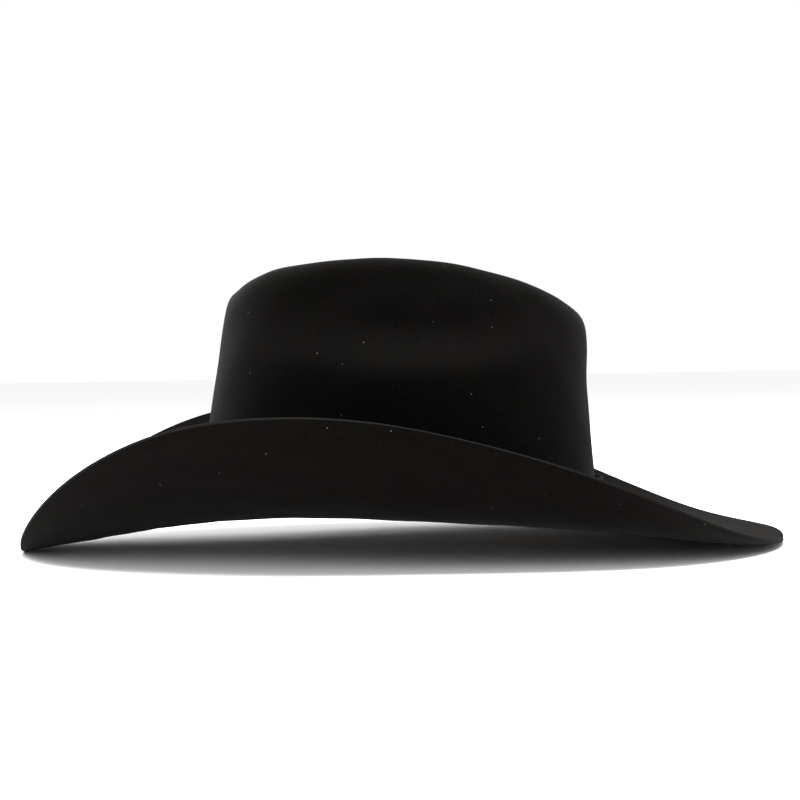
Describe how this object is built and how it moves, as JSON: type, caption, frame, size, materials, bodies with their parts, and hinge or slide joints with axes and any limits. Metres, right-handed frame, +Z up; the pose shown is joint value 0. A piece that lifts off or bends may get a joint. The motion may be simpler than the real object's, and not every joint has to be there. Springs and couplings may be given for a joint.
{
  "type": "cowboy hat",
  "caption": "Felt cowboy hat with a creased crown, side-rolled brim, narrow buckled band, leather sweatband and satin lining",
  "frame": {"origin": "on the floor below the middle of the hat, which stands on the front and back tips of its brim", "axes": "+X to the front of the hat, +Y to the wearer's left, +Z up through the crown"},
  "size_m": [0.4016, 0.3162, 0.1501],
  "materials": {
    "felt": "fur felt, short nap",
    "sweatband_leather": "smooth roan leather, satin sheen",
    "reed_tape": "woven cotton tape",
    "reed": "matt",
    "thread": "twisted thread",
    "lining_satin": "satin weave",
    "piping": "satin-covered cord",
    "ribbon": "grosgrain ribbon",
    "tab_paper": "uncoated paper, blank",
    "band_felt": "felt, cut edges",
    "band_thread": "twisted thread",
    "buckle_metal": "brushed, edges polished"
  },
  "bodies": {
    "hat": {"felt_brim": "felt", "felt_crown": "felt", "sweatband": "sweatband_leather", "reed_tape": "reed_tape", "sweatband_reed": "reed", "sweatband_stitching": "thread", "liner_side": "lining_satin", "liner_tip": "lining_satin", "liner_piping": "piping", "sweatband_seam_stitches": "thread", "sweatband_bow": "ribbon", "size_tab": "tab_paper", "hat_band": "band_felt", "band_fold": "band_felt", "band_tail": "band_felt", "band_tip": "buckle_metal", "band_tack_stitches": "band_thread"},
    "buckle_frame": {"buckle_frame": "buckle_metal"},
    "buckle_prong": {"buckle_prong": "buckle_metal"},
    "band_keeper": {"band_keeper": "buckle_metal"}
  },
  "joints": [
    {"name": "buckle_lift", "type": "hinge", "parent": "hat", "child": "buckle_frame", "pos_m": [0.01131, 0.09211, 0.03406], "axis": [-0.0124, 0.0014, 0.9999], "range_deg": [0, 25]},
    {"name": "prong_lift", "type": "hinge", "parent": "buckle_frame", "child": "buckle_prong", "pos_m": [0.01131, 0.09211, 0.03406], "axis": [-0.0124, 0.0014, 0.9999], "range_deg": [0, 40]},
    {"name": "keeper_slide", "type": "slide", "parent": "hat", "child": "band_keeper", "axis": [-0.999, -0.0344, -0.0301], "range_m": [-0.004, 0.004]}
  ]
}
